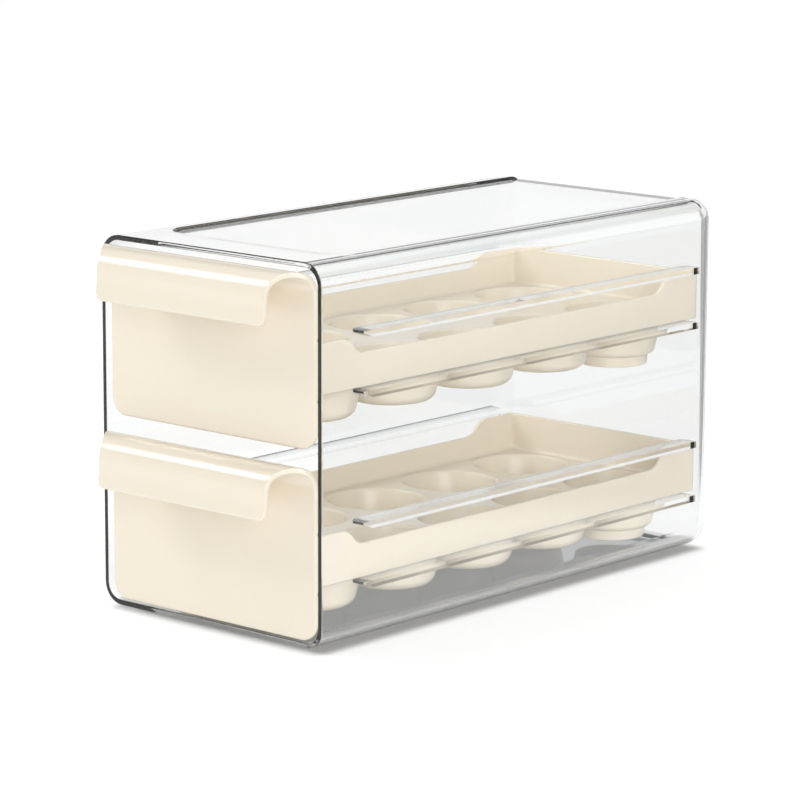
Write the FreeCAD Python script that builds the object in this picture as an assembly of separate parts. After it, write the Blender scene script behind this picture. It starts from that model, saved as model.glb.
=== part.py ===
import FreeCAD, Part
import math
import os

# Two-drawer egg keeper: a clear case, open at the front, with two egg trays on guide rails.
# Lengths are millimetres. X runs across, Y from the pulls to the back, Z up from the table.
# The origin is the middle of the whole box's footprint, pulls included, on the table.

# Clear case; its height follows from the drawers that it holds
case_width = 126.5
case_depth = 262.8
case_wall = 2.2
case_edge_radius = 9.5

# Stacking recess in the top, open at the back, and the foot below that drops into such a recess
recess_side_margin = 13.25
recess_front_margin = 22.0
recess_depth = 1.5
recess_corner_radius = 2.5
foot_height = 2.2
foot_play = 0.6
foot_rear_margin = 10.0

# Guide rails inside both side walls, one pair under and one pair over each tray
rail_width = 8.3
rail_thickness = 3.0
rail_front_margin = 26.5
rail_nose_radius = 4.0

# How the drawers sit in the case, with the play left round them
tier_names = ("lower", "upper")
tier_pitch = 80.0
drawer_floor_play = 0.6
drawer_top_play = 0.8
front_side_play = 2.4
tray_side_play = 5.85
tray_rear_play = 0.9
running_play = 0.3

# Front plate, its top rolled forward into the curled pull
front_gap = 5.8
front_thickness = 2.5
front_setback = 1.0
front_corner_radius = 8.0
curl_radius = 10.4
curl_drop = 10.0
curl_flare = 1.2
curl_corner_radius = 4.0
curl_root_run = 3.0
curl_draw_in = 10.25
curl_end_round = 6.0
curl_lip_corner = 4.0

# Egg tray
tray_wall = 1.9
tray_corner_radius = 1.5
deck_height = 26.4
deck_thickness = 1.9
skirt_depth = 4.5
low_wall_rise = 10.0
high_wall_rise = 17.0
front_high_length = 16.5
rear_high_length = 20.0
wall_step_length = 14.0

# Egg cups in the tray's deck, a land apart; the rear row stands on ring feet, clear of the floor below
cup_rows = 5
cup_columns = 2
cup_land = 7.66
cup_depth = 18.1
cup_draw_in = 4.4
cup_wall = 1.9
ring_foot_draw_in = 2.7
ring_foot_wall = 1.9
ring_foot_lift = 1.7

# How far every cutting shape runs past what it cuts
overrun = 5.0
full_turn = 360.0
# Points and levels nearer than this count as one
touching = 0.001

# Sizes across X, from the case inwards
case_inner_width = case_width - 2 * case_wall
recess_width = case_width - 2 * recess_side_margin
front_width = case_inner_width - 2 * front_side_play
curl_lip_width = front_width - 2 * curl_draw_in
tray_width = case_inner_width - 2 * tray_side_play

# Places along Y, from the lip of the pulls to the back of the case
front_inner_y = front_setback + front_thickness
flare_angle = 2 * math.atan2(curl_flare, curl_drop)
lip_bulge = front_thickness / 2 * (1 - math.cos(flare_angle))
pull_reach = 2 * curl_radius + curl_flare + lip_bulge - front_inner_y
rim_y = (pull_reach - case_depth) / 2
back_y = rim_y + case_depth
plate_face_y = rim_y + front_setback
plate_back_y = rim_y + front_inner_y
tray_back_y = back_y - case_wall - tray_rear_play

# Places along Z
front_height = tier_pitch - front_gap
case_bottom_z = foot_height
drawer_base_z = case_bottom_z + case_wall + drawer_floor_play
top_drawer_z = drawer_base_z + (len(tier_names) - 1) * tier_pitch
case_top_z = top_drawer_z + front_height + drawer_top_play + case_wall
skirt_z = deck_height - skirt_depth
low_wall_z = deck_height + low_wall_rise
high_wall_z = deck_height + high_wall_rise

# Grid and sizes of the cups
column_pitch = (tray_width - 2 * tray_wall) / cup_columns
row_pitch = (tray_back_y - plate_back_y - 2 * tray_wall) / cup_rows
cup_mouth_radius = (min(column_pitch, row_pitch) - cup_land) / 2
cup_base_radius = cup_mouth_radius - cup_draw_in
ring_foot_radius = cup_base_radius + cup_wall - ring_foot_draw_in
ring_foot_height = deck_height - cup_depth - cup_wall - ring_foot_lift


def at(x, y, z):
    return FreeCAD.Vector(x, y, z)


def across(u, v):
    """Place an outline's point in the upright plane through X and Z."""
    return at(u, 0, v)


def flat(u, v):
    """Place an outline's point in the level plane through X and Y."""
    return at(u, v, 0)


def upright(u, v):
    """Place an outline's point in the upright plane through Y and Z."""
    return at(0, u, v)


def line(start, end):
    return Part.LineSegment(start, end).toShape()


def arc(start, middle, end):
    return Part.Arc(start, middle, end).toShape()


def rounded_face(corners, place):
    """Flat face through corners (u, v, radius), each corner rounded by its own radius."""
    edges = []
    arrivals = []
    departures = []
    middles = []
    for index, (u, v, radius) in enumerate(corners):
        corner = FreeCAD.Vector(u, v, 0)
        before = FreeCAD.Vector(*corners[index - 1][:2], 0) - corner
        after = FreeCAD.Vector(*corners[(index + 1) % len(corners)][:2], 0) - corner
        before.normalize()
        after.normalize()
        half_angle = before.getAngle(after) / 2
        inward = (before + after).normalize() if radius else before
        tangent_length = radius / math.tan(half_angle)
        middle_length = radius / math.sin(half_angle) - radius
        arrivals.append(corner + before * tangent_length)
        departures.append(corner + after * tangent_length)
        middles.append(corner + inward * middle_length)
    for index, (u, v, radius) in enumerate(corners):
        start = place(arrivals[index].x, arrivals[index].y)
        end = place(departures[index].x, departures[index].y)
        if radius:
            edges.append(arc(start, place(middles[index].x, middles[index].y), end))
        following = arrivals[(index + 1) % len(corners)]
        onward = place(following.x, following.y)
        if not end.isEqual(onward, touching):
            edges.append(line(end, onward))
    return Part.Face(Part.Wire(edges))


def rectangle(half_width, low, high, low_radius, high_radius):
    """Corners of a rectangle about the middle, with one rounding below and one above."""
    return [
        (-half_width, low, low_radius),
        (half_width, low, low_radius),
        (half_width, high, high_radius),
        (-half_width, high, high_radius),
    ]


def level_block(corners, low_z, high_z):
    """Outline in X and Y, raised from one level to another."""
    block = rounded_face(corners, flat).extrude(at(0, 0, high_z - low_z))
    return block.translated(at(0, 0, low_z))


def case_block(inset, front_y):
    """Long block with rounded edges, and rounded again round its closed rear end."""
    edge_radius = case_edge_radius - inset
    corners = rectangle(
        case_width / 2 - inset, case_bottom_z + inset, case_top_z - inset, edge_radius, edge_radius
    )
    rear_y = back_y - inset
    block = rounded_face(corners, across).extrude(at(0, rear_y - front_y, 0)).translated(at(0, front_y, 0))
    rear_edges = [edge for edge in block.Edges if edge.BoundBox.YMin > (front_y + rear_y) / 2]
    return block.makeFillet(edge_radius, rear_edges)


def stacking_recess(grow, rear_y):
    """Outline of the recess in the top, grown on its front and sides."""
    return rectangle(
        recess_width / 2 + grow,
        rim_y + recess_front_margin - grow,
        rear_y,
        recess_corner_radius + grow,
        recess_corner_radius + grow,
    )


def stacking_foot(inset):
    """Outline of the foot under the floor, which clears the recess of the box below."""
    radius = recess_corner_radius + case_wall - inset
    return rectangle(
        recess_width / 2 - foot_play - inset,
        rim_y + recess_front_margin + foot_play + inset,
        back_y - foot_rear_margin - inset,
        radius,
        radius,
    )


def guide_rail(side, low_z):
    """One rail on a side wall, with a rounded nose at its front."""
    wall_x = side * case_inner_width / 2
    edge_x = wall_x - side * rail_width
    nose_y = rim_y + rail_front_margin
    corners = [
        (wall_x, nose_y, 0),
        (edge_x, nose_y, rail_nose_radius),
        (edge_x, back_y, 0),
        (wall_x, back_y, 0),
    ]
    return level_block(corners, low_z, low_z + rail_thickness)


def guide_rails():
    """All the rails: on both sides, each tray runs on one rail and under another."""
    rails = []
    for tier in range(len(tier_names)):
        base_z = drawer_base_z + tier * tier_pitch
        under_z = base_z + skirt_z - running_play - rail_thickness
        over_z = base_z + high_wall_z + running_play
        rails += [guide_rail(side, low_z) for low_z in (under_z, over_z) for side in (-1, 1)]
    return rails


def outer_case():
    """Clear shell of even wall with its recess and foot, and the rails that stand on its side walls."""
    outer = case_block(0, rim_y)
    cavity = case_block(case_wall, rim_y - overrun)
    liner_low_z = case_top_z - case_wall - recess_depth
    liner = level_block(stacking_recess(case_wall, back_y), liner_low_z, case_top_z - case_wall / 2)
    floor_top_z = case_bottom_z + case_wall
    foot = level_block(stacking_foot(0), 0, floor_top_z - case_wall / 2)
    shell = outer.cut(cavity).fuse([liner.common(outer), foot])
    recess_rear_y = back_y + recess_corner_radius + overrun
    recess = level_block(stacking_recess(0, recess_rear_y), case_top_z - recess_depth, case_top_z + overrun)
    hollow = level_block(stacking_foot(case_wall), case_wall, floor_top_z + case_wall / 2)
    shell = shell.cut([recess, hollow]).removeSplitter()
    return Part.makeCompound([shell] + [rail.common(cavity) for rail in guide_rails()])


def curl_profile():
    """Side outline of the plate: flat face, half-round roll, and a leg that flares to a rounded lip."""
    inner_radius = curl_radius - front_thickness
    centre_y = plate_back_y - curl_radius
    centre_z = front_height - curl_radius
    flare_radius = curl_drop / math.sin(flare_angle)
    flare_y = centre_y - curl_radius - flare_radius

    def on_flare(depth, share):
        angle = flare_angle * share
        radius = flare_radius + depth
        return upright(flare_y + radius * math.cos(angle), centre_z - radius * math.sin(angle))

    half_share = 0.5
    middle = on_flare(front_thickness / 2, 1)
    along = at(0, -math.sin(flare_angle), -math.cos(flare_angle))
    lip_tip = middle + along * (front_thickness / 2)
    leg_top = on_flare(front_thickness, 0)
    foot_back = upright(plate_back_y, 0)
    foot_face = upright(plate_face_y, 0)
    roll_back = upright(plate_back_y, centre_z)
    roll_face = upright(plate_face_y, centre_z)
    edges = [
        line(foot_back, roll_back),
        arc(roll_back, upright(centre_y, front_height), on_flare(0, 0)),
        arc(on_flare(0, 0), on_flare(0, half_share), on_flare(0, 1)),
        arc(on_flare(0, 1), lip_tip, on_flare(front_thickness, 1)),
        arc(on_flare(front_thickness, 1), on_flare(front_thickness, half_share), leg_top),
        arc(leg_top, upright(centre_y, centre_z + inner_radius), roll_face),
        line(roll_face, foot_face),
        line(foot_face, foot_back),
    ]
    return Part.Face(Part.Wire(edges)), lip_tip.z


def front_plate():
    """Front plate of a drawer, standing on Z = 0, with the ends of its pull drawn in and rounded."""
    profile, lip_z = curl_profile()
    half_width = front_width / 2
    half_lip = curl_lip_width / 2
    leg_y = plate_back_y - 2 * curl_radius + front_thickness
    ahead_y = leg_y - front_thickness - curl_flare - overrun
    bent = profile.extrude(at(front_width, 0, 0)).translated(at(-half_width, 0, 0))
    right_side = [
        (half_width, plate_back_y + overrun, 0),
        (half_width, plate_face_y - curl_root_run, curl_end_round),
        (half_lip, leg_y, curl_end_round),
        (half_lip, ahead_y, 0),
    ]
    left_side = [(-x, y, radius) for x, y, radius in reversed(right_side)]
    plan = level_block(right_side + left_side, -overrun, front_height + overrun)
    outline = rectangle(half_width, 0, front_height, front_corner_radius, curl_corner_radius)
    depth = plate_back_y + overrun - ahead_y
    face = rounded_face(outline, across).extrude(at(0, depth, 0)).translated(at(0, ahead_y, 0))
    plate = bent.common(plan).common(face)
    for side in (-1, 1):
        corners = [
            (side * (half_lip + overrun), lip_z - overrun, 0),
            (side * (half_lip + overrun), lip_z + curl_lip_corner, 0),
            (side * half_lip, lip_z + curl_lip_corner, 0),
            (side * half_lip, lip_z, curl_lip_corner),
            (side * (half_lip - curl_lip_corner), lip_z, 0),
            (side * (half_lip - curl_lip_corner), lip_z - overrun, 0),
        ]
        leg_depth = plate_back_y - curl_radius - ahead_y
        corner = rounded_face(corners, across).extrude(at(0, leg_depth, 0)).translated(at(0, ahead_y, 0))
        plate = plate.cut(corner)
    return plate.removeSplitter()


def wall_step(high_y, low_y):
    """Two arcs that bring the wall's top edge from its high part to its low part, level at both ends."""
    run = abs(low_y - high_y)
    drop = high_wall_z - low_wall_z
    way = math.copysign(1, low_y - high_y)
    radius = (run * run + drop * drop) / (4 * drop)
    half_angle = math.asin(run / (2 * radius)) / 2
    sideways = way * radius * math.sin(half_angle)
    downwards = radius * (1 - math.cos(half_angle))
    high = upright(high_y, high_wall_z)
    low = upright(low_y, low_wall_z)
    middle = (high + low) / 2
    return [
        arc(high, high + upright(sideways, -downwards), middle),
        arc(middle, low + upright(-sideways, downwards), low),
    ]


def side_wall(side):
    """Side wall of the tray, high at both ends and low between, from the skirt's edge up."""
    front_high_y = plate_back_y + front_high_length
    front_low_y = front_high_y + wall_step_length
    rear_high_y = tray_back_y - rear_high_length
    rear_low_y = rear_high_y - wall_step_length
    edges = wall_step(front_high_y, front_low_y) + wall_step(rear_high_y, rear_low_y)
    edges += [
        line(upright(front_low_y, low_wall_z), upright(rear_low_y, low_wall_z)),
        line(upright(rear_high_y, high_wall_z), upright(tray_back_y, high_wall_z)),
        line(upright(tray_back_y, high_wall_z), upright(tray_back_y, skirt_z)),
        line(upright(tray_back_y, skirt_z), upright(plate_back_y, skirt_z)),
        line(upright(plate_back_y, skirt_z), upright(plate_back_y, high_wall_z)),
        line(upright(plate_back_y, high_wall_z), upright(front_high_y, high_wall_z)),
    ]
    outline = Part.Face(Part.Wire(Part.sortEdges(edges)[0]))
    outer_x = side * tray_width / 2
    wall = outline.extrude(at(-side * tray_wall, 0, 0)).translated(at(outer_x, 0, 0))
    rear_edges = []
    for edge in wall.Edges:
        box = edge.BoundBox
        if box.ZLength > skirt_depth and box.YMin > rear_high_y and abs(box.XMax - outer_x) < touching:
            rear_edges.append(edge)
    return wall.makeFillet(tray_corner_radius, rear_edges)


def end_wall(low_y):
    """Front or rear wall of the tray, between the side walls."""
    inner_half = tray_width / 2 - tray_wall
    corners = rectangle(inner_half, low_y, low_y + tray_wall, 0, 0)
    return level_block(corners, skirt_z, high_wall_z)


def turned(corners):
    """Round body about the upright axis, from an outline of radius and level."""
    return rounded_face(corners, across).revolve(at(0, 0, 0), at(0, 0, 1), full_turn)


def cup_body():
    """Outside of one cup, a cone from within the deck down to its flat base."""
    base_z = -cup_depth - cup_wall
    top_z = -deck_thickness / 2
    return turned([
        (0, base_z, 0),
        (cup_base_radius + cup_wall, base_z, 0),
        (cup_mouth_radius + cup_wall, top_z, 0),
        (0, top_z, 0),
    ])


def cup_hollow():
    """Inside of one cup, a cone with a flat bottom that opens through the deck."""
    spread = (cup_mouth_radius - cup_base_radius) / cup_depth
    return turned([
        (0, -cup_depth, 0),
        (cup_base_radius, -cup_depth, 0),
        (cup_mouth_radius + spread * overrun, overrun, 0),
        (0, overrun, 0),
    ])


def ring_foot():
    """Ring below a rear cup, rooted in the cup's base."""
    top_z = -cup_depth - cup_wall / 2
    low_z = -cup_depth - cup_wall - ring_foot_height
    inner_radius = ring_foot_radius - ring_foot_wall
    return turned([
        (inner_radius, low_z, 0),
        (ring_foot_radius, low_z, 0),
        (ring_foot_radius, top_z, 0),
        (inner_radius, top_z, 0),
    ])


def cup_cell(footed):
    """One cell of the deck with its cup, about the cup's axis, with the deck's top at Z = 0."""
    corners = rectangle(column_pitch / 2, -row_pitch / 2, row_pitch / 2, 0, 0)
    deck = level_block(corners, -deck_thickness, 0)
    bodies = [cup_body()]
    if footed:
        bodies.append(ring_foot())
    return deck.fuse(bodies).cut(cup_hollow()).removeSplitter()


def egg_tray():
    """Tray of one drawer, from the plate's lower edge up: four walls round a grid of cup cells."""
    solids = [side_wall(side) for side in (-1, 1)]
    solids += [end_wall(plate_back_y), end_wall(tray_back_y - tray_wall)]
    first_x = -column_pitch * (cup_columns - 1) / 2
    first_y = plate_back_y + tray_wall + row_pitch / 2
    for row in range(cup_rows):
        cell = cup_cell(row == cup_rows - 1)
        for column in range(cup_columns):
            centre = at(first_x + column * column_pitch, first_y + row * row_pitch, deck_height)
            solids.append(cell.translated(centre))
    return Part.makeCompound(solids)


def build():
    os.makedirs("parts", exist_ok=True)
    nodes = {"outer_case": outer_case()}
    plate = front_plate()
    tray = egg_tray()
    for tier, name in enumerate(tier_names):
        lift = at(0, 0, drawer_base_z + tier * tier_pitch)
        nodes[name + "_front"] = plate.translated(lift)
        nodes[name + "_tray"] = tray.translated(lift)
    for name, shape in nodes.items():
        shape.exportStep("parts/" + name + ".step")
        box = shape.BoundBox
        print(name, shape.isValid(), len(shape.Solids), round(shape.Volume), box)


build()
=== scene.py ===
import math
import bmesh
import bpy
from mathutils import Matrix, Vector


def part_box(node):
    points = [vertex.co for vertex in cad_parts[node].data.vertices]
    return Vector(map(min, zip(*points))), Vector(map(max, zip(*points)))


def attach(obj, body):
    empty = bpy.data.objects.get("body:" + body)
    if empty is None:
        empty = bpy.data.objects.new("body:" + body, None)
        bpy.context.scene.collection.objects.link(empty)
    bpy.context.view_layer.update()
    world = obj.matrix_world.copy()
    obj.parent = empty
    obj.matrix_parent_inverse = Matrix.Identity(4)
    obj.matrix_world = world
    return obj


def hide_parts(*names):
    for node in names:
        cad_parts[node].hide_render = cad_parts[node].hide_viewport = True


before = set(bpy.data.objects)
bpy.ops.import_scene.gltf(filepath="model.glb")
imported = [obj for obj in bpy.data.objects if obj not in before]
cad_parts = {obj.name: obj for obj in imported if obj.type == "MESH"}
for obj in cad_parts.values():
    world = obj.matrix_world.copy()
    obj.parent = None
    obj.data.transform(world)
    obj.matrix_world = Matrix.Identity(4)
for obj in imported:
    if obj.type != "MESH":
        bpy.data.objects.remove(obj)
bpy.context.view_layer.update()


# Clear case.
# One crystal polystyrene moulding, open at the front, with rails on its side walls for the drawers to
# run on, a shallow stacking recess in the top and a low foot that drops into the recess of a box below.
mm = 0.001
case_low, case_high = (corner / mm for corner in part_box("outer_case"))
case_wall = 2.2
case_edge_radius = 9.5
rim_round = 0.5
recess_half, recess_front, recess_depth, recess_corner = 50.0, case_low.y + 22.0, 1.5, 13.0
foot_half, foot_front, foot_height, foot_corner = 49.4, case_low.y + 22.6, 2.2, 4.7
foot_back = case_high.y - 10.0
step_round = 0.35
flat_margin = 0.3
rail_width, rail_thickness, rail_nose, rail_root = 8.3, 3.0, 4.0, 0.02
rail_front, rail_back = case_low.y + 26.5, case_high.y - 11.2
rail_lead, rail_tip = 6.0, 0.9
rail_nose_shares = (0, 0.06, 0.2, 0.45, 0.7, 1)
skirt_below_top, rail_play = 21.5, 0.3
corner_steps, rear_steps = 8, 8
round_shares = ((0, 1), (0.29, 0.29), (1, 0))
weld_distance, sliver_distance = 0.002, 0.0005


def plan_reach(inward, full, radius):
    """Sideways reach of an outline with a rounded front corner, so far in from its front edge."""
    gap = radius - min(max(inward, 0), radius)
    return full - radius + math.sqrt(radius ** 2 - gap ** 2)


def sunk_step(edge, level, drop):
    """Four points, from the outside in, where a level surface steps down with eased corners."""
    ease = min(step_round, drop / 2)
    spread = (step_round - ease) / 3
    return [
        (edge + step_round, level),
        (edge + spread, level - ease),
        (edge - spread, level - drop + ease),
        (edge - step_round, level - drop),
    ]


def rear_inset(y, back, radius):
    """How far the skin has drawn in where the closed rear end rounds off."""
    run = y - (back - radius)
    return radius - math.sqrt(max(radius ** 2 - run ** 2, 0)) if run > 0 else 0


rail_levels = []
for node in ("lower_tray", "upper_tray"):
    _, tray_high = (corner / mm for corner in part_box(node))
    skirt_level = tray_high.z - skirt_below_top
    rail_levels += [skirt_level - rail_play - rail_thickness, tray_high.z + rail_play]


def case_loop(y, inset, inner):
    """Points round the case at one place along Y, on the outer skin or the inner one, sunk by inset."""
    grow = case_wall if inner else 0
    half, floor_z, top_z = case_high.x - inset, foot_height + inset, case_high.z - inset
    radius = max(case_edge_radius - inset, 0)
    foot_inward = min(y - foot_front, foot_back - y) - grow
    foot_edge = plan_reach(foot_inward, foot_half - grow, foot_corner - grow)
    recess_inward = y - recess_front + grow
    recess_edge = plan_reach(recess_inward, recess_half + grow, recess_corner + grow)
    recess_floor = case_high.z - recess_depth
    recess_drop = max(top_z - recess_floor, 0) if recess_inward > 0 and not inner else 0
    right = sunk_step(foot_edge, floor_z, foot_height if foot_inward > 0 else 0)[::-1]
    right.append((half - radius - flat_margin, floor_z))
    for step in range(corner_steps + 1):
        angle = math.radians(90) * step / corner_steps
        across, rise = radius * math.sin(angle), radius * math.cos(angle)
        right.append((half - radius + across, floor_z + radius - rise))
    right.append((half, floor_z + radius + flat_margin))
    rail_inward = min(y - rail_front, rail_back - y)
    reach = plan_reach(rail_inward, rail_width, rail_nose) if inner and rail_inward > 0 else 0
    tip = min(half, case_high.x - case_wall - reach) if inner else half
    lead = (rail_thickness - rail_tip) * max(1 - max(y - rail_front, 0) / rail_lead, 0)
    for level in rail_levels:
        right += [
            (half, level + lead - rail_root),
            (tip, level + lead),
            (tip, level + rail_thickness),
            (half, level + rail_thickness + rail_root),
        ]
    right.append((half, top_z - radius - flat_margin))
    for step in range(corner_steps + 1):
        angle = math.radians(90) * step / corner_steps
        across, rise = radius * math.cos(angle), radius * math.sin(angle)
        right.append((half - radius + across, top_z - radius + rise))
    right.append((half - radius - flat_margin, top_z))
    right += sunk_step(recess_edge, top_z, recess_drop)
    return [Vector((x, y, z)) for x, z in right + [(-x, z) for x, z in reversed(right)]]


def corner_runs(radius):
    """Distances in from an outline's edge along its rounded corner, the first across the step."""
    return [0, step_round] + [radius * (1 - math.cos(math.radians(turn))) for turn in range(20, 91, 10)]


def case_skin(inner):
    """All the loops of one skin, from the open rim to the closed back."""
    grow = case_wall if inner else 0
    back, radius = case_high.y - grow, case_edge_radius - grow
    places = [recess_front - grow + run for run in corner_runs(recess_corner + grow)]
    places += [foot_front + grow + run for run in corner_runs(foot_corner - grow)]
    places += [foot_back - grow - run for run in corner_runs(foot_corner - grow)]
    if inner:
        for share in rail_nose_shares:
            places += [rail_front + rail_nose * share, rail_back - rail_nose * share]
        places.append(rail_front + rail_lead)
    for step in range(rear_steps + 1):
        places.append(back - radius + radius * math.sin(math.radians(90) * step / rear_steps))
    away = -1 if inner else 1
    loops = []
    for run_share, inset_share in round_shares:
        inset = grow + away * rim_round * inset_share
        loops.append(case_loop(case_low.y + rim_round * run_share, inset, inner))
    places.append(case_low.y + rim_round + flat_margin)
    for y in sorted(places):
        loops.append(case_loop(y, grow + rear_inset(y, back, radius), inner))
    return loops


def bridge(mesh, first, second):
    """Quads between two closed loops of as many vertices."""
    for index in range(len(first)):
        after = (index + 1) % len(first)
        mesh.faces.new((first[index], first[after], second[after], second[index]))


def finish_piece(name, mesh, sharp_angle):
    """Turn the mesh, in millimetres, into a smooth object in metres with its hard edges kept."""
    bmesh.ops.remove_doubles(mesh, verts=mesh.verts, dist=weld_distance)
    bmesh.ops.dissolve_degenerate(mesh, edges=mesh.edges, dist=sliver_distance)
    bmesh.ops.recalc_face_normals(mesh, faces=mesh.faces)
    bmesh.ops.scale(mesh, vec=(mm, mm, mm), verts=mesh.verts)
    for face in mesh.faces:
        face.smooth = True
    for edge in mesh.edges:
        edge.smooth = len(edge.link_faces) == 2 and edge.calc_face_angle() < math.radians(sharp_angle)
    data = bpy.data.meshes.new(name)
    mesh.to_mesh(data)
    mesh.free()
    piece = bpy.data.objects.new(name, data)
    bpy.context.scene.collection.objects.link(piece)
    flat = piece.modifiers.new("even_flats", "WEIGHTED_NORMAL")
    flat.keep_sharp = True
    return piece


shell = bmesh.new()
skins = [
    [[shell.verts.new(point) for point in loop] for loop in case_skin(inner)]
    for inner in (False, True)
]
for loops in skins:
    for first, second in zip(loops, loops[1:]):
        bridge(shell, first, second)
    shell.faces.new(loops[-1])
bridge(shell, skins[0][0], skins[1][0])
clear_case = finish_piece("clear_case", shell, 35)


def linear(code):
    """Linear colour, with alpha, from an sRGB hex code."""
    shares = [int(code[start:start + 2], 16) / 255 for start in (1, 3, 5)]
    return tuple(s / 12.92 if s <= 0.04045 else ((s + 0.055) / 1.055) ** 2.4 for s in shares) + (1.0,)


def add_node(tree, kind, inputs, **settings):
    """Add a node with its settings, and set its inputs or link them to the sockets given."""
    made = tree.nodes.new(kind)
    for name, value in settings.items():
        setattr(made, name, value)
    for name, value in inputs.items():
        if isinstance(value, bpy.types.NodeSocket):
            tree.links.new(value, made.inputs[name])
        else:
            made.inputs[name].default_value = value
    return made


# Crystal polystyrene, injection moulded in a polished tool: water clear with a high index, so its
# edges go dark and bright. The melt leaves the walls very slightly wavy, over about 40 mm.
clear_polystyrene = bpy.data.materials.new("clear_polystyrene")
clear_polystyrene.use_nodes = True
tree = clear_polystyrene.node_tree
tree.nodes.clear()
place = add_node(tree, "ShaderNodeTexCoord", {})
melt_wave = add_node(tree, "ShaderNodeTexNoise", {
    "Vector": place.outputs["Object"], "Scale": 1 / (40 * mm), "Detail": 2.0, "Roughness": 0.4,
})
wave_bump = add_node(tree, "ShaderNodeBump", {
    "Strength": 0.2, "Distance": 0.05 * mm, "Height": melt_wave.outputs["Fac"],
})
haze = add_node(tree, "ShaderNodeMapRange", {
    "Value": melt_wave.outputs["Fac"], "To Min": 0.0, "To Max": 0.02,
})
clear_shader = add_node(tree, "ShaderNodeBsdfPrincipled", {
    "Base Color": linear("#FBFCFC"), "IOR": 1.59, "Transmission Weight": 1.0,
    "Roughness": haze.outputs["Result"], "Normal": wave_bump.outputs["Normal"],
})
add_node(tree, "ShaderNodeOutputMaterial", {"Surface": clear_shader.outputs["BSDF"]})
clear_case.data.materials.append(clear_polystyrene)
# The case casts no shadow, so that the drawers inside it are lit.
clear_case.visible_shadow = False
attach(clear_case, "case")
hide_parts("outer_case")


# Drawer fronts.
# Each is a cream ABS plate whose top rolls forward into a curled pull that flares to a rounded lip; the
# roll's ends are drawn in. It is moulded in a polished tool and closes the front of its egg tray.
front_thickness, front_corner = 2.5, 8.0
curl_radius, curl_drop, curl_flare, curl_corner = 10.4, 10.0, 1.2, 4.0
curl_root_run, curl_draw_in, curl_end_round, curl_lip_corner = 3.0, 10.25, 6.0, 4.0
front_edge_round, plate_columns = 0.7, 12


def front_spine(low, high):
    """Stations up the plate, over the roll and down the lip: place, outward way, half thickness."""
    half_thick = front_thickness / 2
    centre_y, centre_z = high.y - curl_radius, high.z - curl_radius
    spine = []
    for run_share, inset_share in round_shares:
        spine.append((high.y - half_thick, low.z + front_edge_round * run_share, 1, 0,
                      half_thick - front_edge_round * inset_share))
    rises = [front_corner * (1 - math.cos(math.radians(turn))) for turn in range(30, 91, 10)]
    rises += [front_corner + (centre_z - low.z - front_corner) * share for share in (0.35, 0.7)]
    spine += [(high.y - half_thick, low.z + rise, 1, 0, half_thick) for rise in rises]
    for turn in range(0, 181, 6):
        way_y, way_z = math.cos(math.radians(turn)), math.sin(math.radians(turn))
        radius = curl_radius - half_thick
        spine.append((centre_y + radius * way_y, centre_z + radius * way_z, way_y, way_z, half_thick))
    flare_angle = 2 * math.atan2(curl_flare, curl_drop)
    flare_radius = curl_drop / math.sin(flare_angle)
    flare_y = centre_y - curl_radius - flare_radius
    for share in (0.2, 0.4, 0.6, 0.8, 1):
        angle = flare_angle * share
        radius = flare_radius + half_thick
        spine.append((flare_y + radius * math.cos(angle), centre_z - radius * math.sin(angle),
                      -math.cos(angle), math.sin(angle), half_thick))
    last_y, last_z, way_y, way_z, _ = spine[-1]
    for turn in (20, 40, 60, 75, 90):
        run = half_thick * math.sin(math.radians(turn))
        spine.append((last_y - run * math.sin(flare_angle), last_z - run * math.cos(flare_angle),
                      way_y, way_z, half_thick * math.cos(math.radians(turn))))
    return spine


def front_half_width(y, z, low, high, lip_z):
    """Half width of the sheet at a point: plate corners, drawn-in ends of the roll, lip corners."""
    start_y = high.y - front_thickness - curl_root_run
    leg_y = high.y - 2 * curl_radius + front_thickness
    lip_half = high.x - curl_draw_in
    slope = math.atan2(curl_draw_in, start_y - leg_y)
    tangent = curl_end_round * math.tan(slope / 2)
    half = high.x - max(start_y - y, 0) * math.tan(slope)
    if start_y - tangent * math.cos(slope) < y < start_y + tangent:
        half = high.x - curl_end_round + math.sqrt(curl_end_round ** 2 - (start_y + tangent - y) ** 2)
    if y < leg_y + tangent * math.cos(slope):
        ahead = max(y - leg_y + tangent, 0)
        half = lip_half + curl_end_round - math.sqrt(curl_end_round ** 2 - ahead ** 2)
        half = plan_reach(z - lip_z, half, curl_lip_corner)
    half = min(half, plan_reach(high.z - z, high.x, curl_corner))
    return min(half, plan_reach(z - low.z, high.x, front_corner))


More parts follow.
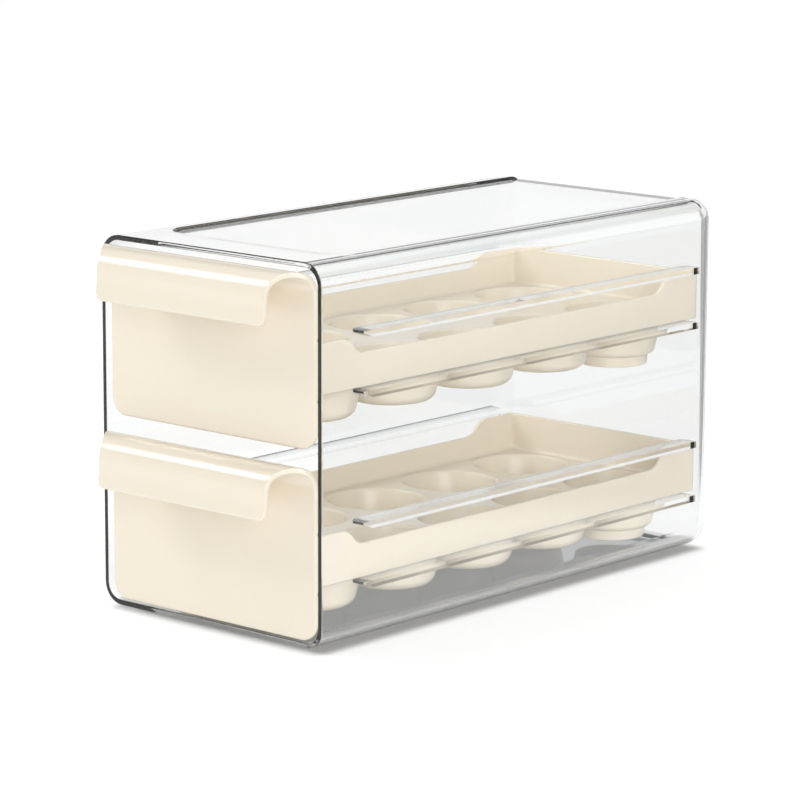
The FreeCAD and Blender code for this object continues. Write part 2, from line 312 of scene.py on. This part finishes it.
def front_mesh(low, high):
    """Closed mesh of one drawer front between the corners of its box."""
    mesh = bmesh.new()
    spine = front_spine(low, high)
    lip_z = spine[-1][1]
    skins = {1: [], -1: []}
    for y, z, way_y, way_z, half_thick in spine:
        half = front_half_width(y, z, low, high, lip_z)
        ends = [
            (half - front_edge_round * run, front_edge_round * inset) for run, inset in round_shares
        ]
        inner = ends[-1][0]
        row = [(-x, inset) for x, inset in ends]
        row += [(inner * (2 * column / plate_columns - 1), 0) for column in range(1, plate_columns)]
        row += ends[::-1]
        for side, rows in skins.items():
            rows.append([])
            for x, inset in row:
                depth = side * max(min(half_thick, front_thickness / 2 - inset), 0)
                rows[-1].append(mesh.verts.new((x, y + way_y * depth, z + way_z * depth)))
    for rows in skins.values():
        for first, second in zip(rows, rows[1:]):
            for index in range(len(first) - 1):
                mesh.faces.new((first[index], first[index + 1], second[index + 1], second[index]))
    for end in (0, -1):
        for station in range(len(spine) - 1):
            mesh.faces.new((skins[1][station][end], skins[1][station + 1][end],
                            skins[-1][station + 1][end], skins[-1][station][end]))
    for outer, inner in ((skins[1][0], skins[-1][0]), (skins[1][-1], skins[-1][-1])):
        for index in range(len(outer) - 1):
            mesh.faces.new((outer[index], outer[index + 1], inner[index + 1], inner[index]))
    return mesh


# Cream ABS, injection moulded in a polished tool: an opaque warm white with a wet gloss. The colour
# drifts a little with the flow of the melt, over about 30 mm, and a fine orange peel of 3 mm softens
# the highlights.
cream_abs = bpy.data.materials.new("cream_abs")
cream_abs.use_nodes = True
tree = cream_abs.node_tree
tree.nodes.clear()
place = add_node(tree, "ShaderNodeTexCoord", {})
flow = add_node(tree, "ShaderNodeTexNoise", {
    "Vector": place.outputs["Object"], "Scale": 1 / (30 * mm), "Detail": 3.0, "Roughness": 0.5,
})
flow_colour = add_node(tree, "ShaderNodeMix", {
    "Factor": flow.outputs["Fac"], "A": linear("#EBE1CE"), "B": linear("#EEE5D4"),
}, data_type="RGBA")
flow_gloss = add_node(tree, "ShaderNodeMapRange", {
    "Value": flow.outputs["Fac"], "To Min": 0.16, "To Max": 0.24,
})
peel = add_node(tree, "ShaderNodeTexNoise", {
    "Vector": place.outputs["Object"], "Scale": 1 / (3 * mm), "Detail": 2.0, "Roughness": 0.5,
})
peel_bump = add_node(tree, "ShaderNodeBump", {
    "Strength": 0.15, "Distance": 0.02 * mm, "Height": peel.outputs["Fac"],
})
cream_shader = add_node(tree, "ShaderNodeBsdfPrincipled", {
    "Base Color": flow_colour.outputs[2], "IOR": 1.54,
    "Roughness": flow_gloss.outputs["Result"], "Normal": peel_bump.outputs["Normal"],
})
add_node(tree, "ShaderNodeOutputMaterial", {"Surface": cream_shader.outputs["BSDF"]})

for tier in ("lower", "upper"):
    node = tier + "_front"
    low, high = (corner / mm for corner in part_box(node))
    front = finish_piece(tier + "_rolled_front", front_mesh(low, high), 50)
    front.data.materials.append(cream_abs)
    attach(front, tier + "_drawer")
    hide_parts(node)


# Egg trays.
# Each is a cream ABS moulding of one wall thickness: a deck with ten round cups, walls that step down
# between their high ends, and a skirt that runs on the rails. The two rear cups stand on ring feet.
tray_wall, deck_thickness, deck_above_foot = 1.9, 1.9, 24.7
skirt_depth, low_rise, high_rise = 4.5, 10.0, 17.0
front_high_run, rear_high_run, step_run = 16.5, 20.0, 14.0
deck_fillet, wall_top_round, skirt_round = 1.5, 0.8, 0.5
cup_rows, cup_columns = 5, 2
cup_land, cup_depth, cup_draw_in, cup_wall = 7.66, 18.1, 4.4, 1.9
cup_lip_round, cup_floor_round, cup_foot_round, deck_under_round = 1.6, 3.6, 5.2, 0.6
cup_lip_margin, cup_under_margin = 1.7, 0.65
ring_radius, ring_wall, ring_round, ring_draft, ring_root_round = 16.2, 1.9, 0.6, 0.4, 3.0
side_divisions, step_divisions, corner_turns, arc_steps = 22, 14, 6, 6
least_spacing = 0.4


def rounded_profile(corners, steps):
    """Points along a line with its corners (radius, level, round) eased by arcs."""
    points = []
    for index, (r, z, ease) in enumerate(corners):
        corner = Vector((r, z))
        if not ease:
            points.append(corner)
            continue
        before = (Vector(corners[index - 1][:2]) - corner).normalized()
        after = (Vector(corners[index + 1][:2]) - corner).normalized()
        half_angle = before.angle(after) / 2
        centre = corner + (before + after).normalized() * ease / math.sin(half_angle)
        first = corner + before * ease / math.tan(half_angle) - centre
        last = corner + after * ease / math.tan(half_angle) - centre
        for step in range(steps + 1):
            points.append(centre + first.lerp(last, step / steps).normalized() * ease)
    return points


def wall_rise(y, front, back):
    """Height of the side wall above the deck, with its two tangent arcs at each step."""
    run = min(y - front - front_high_run, back - rear_high_run - y)
    if run <= 0:
        return high_rise
    if run >= step_run:
        return low_rise
    drop = high_rise - low_rise
    radius = (step_run ** 2 + drop ** 2) / (4 * drop)
    if run < step_run / 2:
        return high_rise - radius + math.sqrt(radius ** 2 - run ** 2)
    return low_rise + radius - math.sqrt(radius ** 2 - (step_run - run) ** 2)


def even_places(start, end, count):
    """Evenly spaced places from start to end, with both of them."""
    return [start + (end - start) * index / count for index in range(count + 1)]


def tray_mesh(low, high):
    """Closed mesh of one egg tray between the corners of its box."""
    mesh = bmesh.new()
    deck_z = low.z + deck_above_foot
    inset = tray_wall + deck_fillet
    border_x, front_y, back_y = high.x - inset, low.y + inset, high.y - inset
    column_pitch = 2 * (high.x - tray_wall) / cup_columns
    row_pitch = (high.y - low.y - 2 * tray_wall) / cup_rows
    x_lines = [-border_x, 0, border_x]
    y_lines = [low.y + tray_wall + row_pitch * row for row in range(cup_rows + 1)]
    y_lines[0], y_lines[-1] = front_y, back_y
    mouth = (min(column_pitch, row_pitch) - cup_land) / 2
    base = mouth - cup_draw_in
    draft = cup_draw_in / cup_depth
    foot_z = -cup_depth - cup_wall
    under_radius = mouth + cup_wall - draft * deck_thickness
    hollow = rounded_profile([
        (mouth + cup_lip_margin, 0, 0), (mouth, 0, cup_lip_round),
        (base, -cup_depth, cup_floor_round), (0, -cup_depth, 0),
    ], arc_steps)
    under_start = (under_radius + cup_under_margin, -deck_thickness, 0)
    under_corner = (under_radius, -deck_thickness, deck_under_round)
    plain_foot = rounded_profile([
        under_start, under_corner, (base + cup_wall, foot_z, cup_foot_round), (0, foot_z, 0),
    ], arc_steps)
    ring_foot = rounded_profile([
        under_start, under_corner, (base + cup_wall, foot_z, ring_root_round), (ring_radius, foot_z, 0),
        (ring_radius - ring_draft, low.z - deck_z, ring_round),
        (ring_radius - ring_wall, low.z - deck_z, ring_round),
        (ring_radius - ring_wall + ring_draft, foot_z, 0), (0, foot_z, 0),
    ], arc_steps)
    wall_steps = []
    for start in (low.y + front_high_run, high.y - rear_high_run - step_run):
        wall_steps += even_places(start, start + step_run, step_divisions)

    def wall_places(start, end):
        places = even_places(start, end, side_divisions)
        places += [y for y in wall_steps if start < y < end]
        kept = []
        for y in sorted(places):
            if not kept or y - kept[-1] > least_spacing:
                kept.append(y)
        kept[-1] = end
        return kept

    def cup(border, centre, profile, level):
        """Rings from a cell's border to the middle of its cup, one vertex to each border point."""
        rings = [[mesh.verts.new((x, y, deck_z + level)) for x, y in border]]
        ways = [(Vector(point) - centre).normalized() for point in border]
        for radius, z in profile[:-1]:
            ring = [centre + way * radius for way in ways]
            rings.append([mesh.verts.new((x, y, deck_z + z)) for x, y in ring])
        for first, second in zip(rings, rings[1:]):
            bridge(mesh, first, second)
        middle = mesh.verts.new((centre.x, centre.y, deck_z + profile[-1].y))
        for index, vert in enumerate(rings[-1]):
            mesh.faces.new((vert, rings[-1][(index + 1) % len(border)], middle))

    for row in range(cup_rows):
        for column in range(cup_columns):
            left, right = x_lines[column:column + 2]
            near, far = y_lines[row:row + 2]
            across = even_places(left, right, side_divisions)
            on_wall, on_middle = wall_places(near, far), even_places(near, far, side_divisions)
            left_places, right_places = (on_wall, on_middle) if column == 0 else (on_middle, on_wall)
            border = [(x, near) for x in across[:-1]] + [(right, y) for y in right_places[:-1]]
            border += [(x, far) for x in across[:0:-1]] + [(left, y) for y in left_places[:0:-1]]
            centre = Vector((
                (column - (cup_columns - 1) / 2) * column_pitch,
                low.y + tray_wall + row_pitch * (row + 0.5),
            ))
            cup(border, centre, hollow, 0)
            cup(border, centre, ring_foot if row == cup_rows - 1 else plain_foot, -deck_thickness)

    across = sorted({
        x for column in range(cup_columns)
        for x in even_places(*x_lines[column:column + 2], side_divisions)
    })
    along = []
    for row in range(cup_rows):
        along += wall_places(*y_lines[row:row + 2])
    along = sorted(set(along))
    track = []
    for start, places, way in (
        ((-border_x, front_y), [(x, front_y) for x in across], -90),
        ((border_x, front_y), [(border_x, y) for y in along], 0),
        ((border_x, back_y), [(x, back_y) for x in reversed(across)], 90),
        ((-border_x, back_y), [(-border_x, y) for y in reversed(along)], 180),
    ):
        track += [(start, way - 90 + 90 * turn / corner_turns) for turn in range(corner_turns)]
        track += [(point, way) for point in places]

    def wall_section(rise):
        """Outward reach and level round the wall, from the deck's top over to its underside."""
        ease = wall_top_round
        outer = deck_fillet + tray_wall
        section = []
        for turn in (0, 30, 60, 90):
            section.append((deck_fillet * math.sin(math.radians(turn)),
                            deck_fillet * (1 - math.cos(math.radians(turn)))))
        for turn in (0, 30, 60, 90):
            section.append((deck_fillet + ease * (1 - math.cos(math.radians(turn))),
                            rise - ease * (1 - math.sin(math.radians(turn)))))
        for turn in (90, 60, 30, 0):
            section.append((outer - ease * (1 - math.cos(math.radians(turn))),
                            rise - ease * (1 - math.sin(math.radians(turn)))))
        section += [
            (outer, skirt_round - skirt_depth), (outer - skirt_round, -skirt_depth),
            (deck_fillet + skirt_round, -skirt_depth), (deck_fillet, skirt_round - skirt_depth),
            (deck_fillet, -deck_thickness), (0, -deck_thickness),
        ]
        return section

    rows = []
    for (x, y), way in track:
        side = math.cos(math.radians(way)), math.sin(math.radians(way))
        rise = wall_rise(y, low.y, high.y) if abs(side[0]) > 0.99 else high_rise
        rows.append([mesh.verts.new((x + side[0] * reach, y + side[1] * reach, deck_z + z))
                     for reach, z in wall_section(rise)])
    for index, row in enumerate(rows):
        following = rows[(index + 1) % len(rows)]
        for point in range(len(row) - 1):
            mesh.faces.new((row[point], row[point + 1], following[point + 1], following[point]))
    return mesh


for tier in ("lower", "upper"):
    node = tier + "_tray"
    low, high = (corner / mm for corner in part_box(node))
    tray = finish_piece(tier + "_egg_tray", tray_mesh(low, high), 60)
    tray.data.materials.append(cream_abs)
    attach(tray, tier + "_drawer")
    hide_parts(node)


# Floor.
# A wide sheet of matt white paper with painted light: the paper itself glows round the box, and less
# under it, so that the glow washes out the box's shadow and leaves only a small shadow where it stands.
# The painted glow fades out to the right of the view.
view_azimuth, view_elevation, view_roll = (math.radians(angle) for angle in (41.6, 11.11, 0.2))
level_right = Vector((math.cos(view_azimuth), math.sin(view_azimuth), 0))
level_away = Vector((-math.sin(view_azimuth), math.cos(view_azimuth), 0))
paper_reach = 9.0
# Levels of the painted glow, under the box and round it, and where that glow fades to the right.
shadow_inset, shadow_fade, glow_near, glow_far = 7.0, 10.0, 0.1, 0.66
fade_start, fade_end, fade_slant = 190.0, 260.0, 0.11
paper_corners = [(x * paper_reach, y * paper_reach, 0) for x, y in ((-1, -1), (1, -1), (1, 1), (-1, 1))]
floor_data = bpy.data.meshes.new("floor")
floor_data.from_pydata(paper_corners, [], [(0, 1, 2, 3)])
floor = bpy.data.objects.new("floor", floor_data)
bpy.context.scene.collection.objects.link(floor)
white_paper_painted_glow = bpy.data.materials.new("white_paper_painted_glow")
white_paper_painted_glow.use_nodes = True
tree = white_paper_painted_glow.node_tree
tree.nodes.clear()
place = add_node(tree, "ShaderNodeTexCoord", {})
fibre = add_node(tree, "ShaderNodeTexNoise", {"Vector": place.outputs["Object"], "Scale": 1 / (5 * mm)})
paper_colour = add_node(tree, "ShaderNodeMix", {
    "Factor": fibre.outputs["Fac"], "A": linear("#B2B2B2"), "B": linear("#B6B6B6"),
}, data_type="RGBA")
box_middle, box_half = (case_low + case_high) / 2 * mm, (case_high - case_low) / 2 * mm
shaded_half = (box_half.x - shadow_inset * mm, box_half.y - shadow_inset * mm, 0)
from_middle = add_node(tree, "ShaderNodeVectorMath", {
    0: place.outputs["Object"], 1: (box_middle.x, box_middle.y, 0),
}, operation="SUBTRACT")
either_side = add_node(tree, "ShaderNodeVectorMath", {0: from_middle.outputs[0]}, operation="ABSOLUTE")
from_box = add_node(tree, "ShaderNodeVectorMath", {
    0: either_side.outputs[0], 1: shaded_half,
}, operation="SUBTRACT")
beyond_box = add_node(tree, "ShaderNodeVectorMath", {
    0: from_box.outputs[0], 1: (0, 0, 0),
}, operation="MAXIMUM")
clearance = add_node(tree, "ShaderNodeVectorMath", {0: beyond_box.outputs[0]}, operation="LENGTH")
# Painted light: the paper's glow is weak within the box's footprint and strong beyond it, washing out
# the shadow.
glow = add_node(tree, "ShaderNodeMapRange", {
    "Value": clearance.outputs["Value"], "From Min": 0.0, "From Max": shadow_fade * mm,
    "To Min": glow_near, "To Max": glow_far,
}, interpolation_type="SMOOTHSTEP")
# The painted glow fades out to the right of the view.
reach_right = add_node(tree, "ShaderNodeVectorMath", {
    0: place.outputs["Object"], 1: level_right - level_away * fade_slant,
}, operation="DOT_PRODUCT")
painted_glow_fade = add_node(tree, "ShaderNodeMapRange", {
    "Value": reach_right.outputs["Value"], "From Min": fade_start * mm, "From Max": fade_end * mm,
    "To Min": 1.0, "To Max": 0.0,
}, interpolation_type="SMOOTHSTEP")
painted_floor_glow = add_node(tree, "ShaderNodeMath", {
    0: glow.outputs["Result"], 1: painted_glow_fade.outputs["Result"],
}, operation="MULTIPLY")
# The paper emits this painted glow, though it is no lamp.
paper_shader = add_node(tree, "ShaderNodeBsdfPrincipled", {
    "Base Color": paper_colour.outputs[2], "Roughness": 0.9, "Specular IOR Level": 0.1,
    "Emission Color": (1, 1, 1, 1), "Emission Strength": painted_floor_glow.outputs["Value"],
})
add_node(tree, "ShaderNodeOutputMaterial", {"Surface": paper_shader.outputs["BSDF"]})
floor_data.materials.append(white_paper_painted_glow)


# Studio light.
# A white surround, brighter behind the box than in front of it, with a dark band part-way up and a
# bright top. A small soft box stands to the left and a large one to the right.
studio = bpy.data.worlds.new("studio")
bpy.context.scene.world = studio
studio.use_nodes = True
tree = studio.node_tree
tree.nodes.clear()
place = add_node(tree, "ShaderNodeTexCoord", {})
height = add_node(tree, "ShaderNodeSeparateXYZ", {"Vector": place.outputs["Generated"]})
ramp = add_node(tree, "ShaderNodeValToRGB", {"Fac": height.outputs["Z"]})
bands = ((0.0, 0.85), (0.40, 0.85), (0.46, 0.04), (0.58, 0.04), (0.68, 1.05))
surround_near, surround_far = 0.45, 1.14
while len(ramp.color_ramp.elements) < len(bands):
    ramp.color_ramp.elements.new(0.5)
for stop, (level, grey) in zip(ramp.color_ramp.elements, bands):
    stop.position = level
    stop.color = (grey, grey, grey, 1)
far_share = add_node(tree, "ShaderNodeVectorMath", {
    0: place.outputs["Generated"], 1: level_away,
}, operation="DOT_PRODUCT")
surround = add_node(tree, "ShaderNodeMapRange", {
    "Value": far_share.outputs["Value"], "From Min": -0.6, "From Max": 0.2,
    "To Min": surround_near, "To Max": surround_far,
})
background = add_node(tree, "ShaderNodeBackground", {
    "Color": ramp.outputs["Color"], "Strength": surround.outputs["Result"],
})
add_node(tree, "ShaderNodeOutputWorld", {"Surface": background.outputs["Background"]})

# Neither lamp is seen through the clear walls.
lamp_target = Vector((0, 0, 0.08))
for name, where, size, power in (
    ("left_soft_box", (-1.05, -0.75, 1.05), 0.4, 5.5),
    ("right_soft_box", (2.4, -1.6, 0.75), 1.5, 42.0),
):
    lamp_data = bpy.data.lights.new(name, "AREA")
    lamp_data.size = size
    lamp_data.energy = power
    lamp = bpy.data.objects.new(name, lamp_data)
    lamp.location = where
    lamp.visible_transmission = False
    lamp.rotation_euler = (lamp_target - lamp.location).to_track_quat("-Z", "Y").to_euler()
    bpy.context.scene.collection.objects.link(lamp)
bpy.context.scene.view_settings.view_transform = "Standard"


# Camera.
# A long lens from the front right, a little above the box, as in the photograph.
back = Vector((
    math.sin(view_azimuth) * math.cos(view_elevation),
    -math.cos(view_azimuth) * math.cos(view_elevation),
    math.sin(view_elevation),
))
level_up = back.cross(level_right)
right = level_right * math.cos(view_roll) + level_up * math.sin(view_roll)
up = level_up * math.cos(view_roll) - level_right * math.sin(view_roll)
camera_data = bpy.data.cameras.new("camera")
camera_data.lens = 169.2
camera_data.sensor_width = 36.0
camera = bpy.data.objects.new("camera", camera_data)
rim_middle = Vector((0, case_low.y, foot_height)) * mm
from_rim = Vector((1.0724, -1.0890, 0.3966))
turned = Matrix((right, up, back)).transposed().to_4x4()
camera.matrix_world = Matrix.Translation(rim_middle + from_rim) @ turned
bpy.context.scene.collection.objects.link(camera)
bpy.context.scene.camera = camera
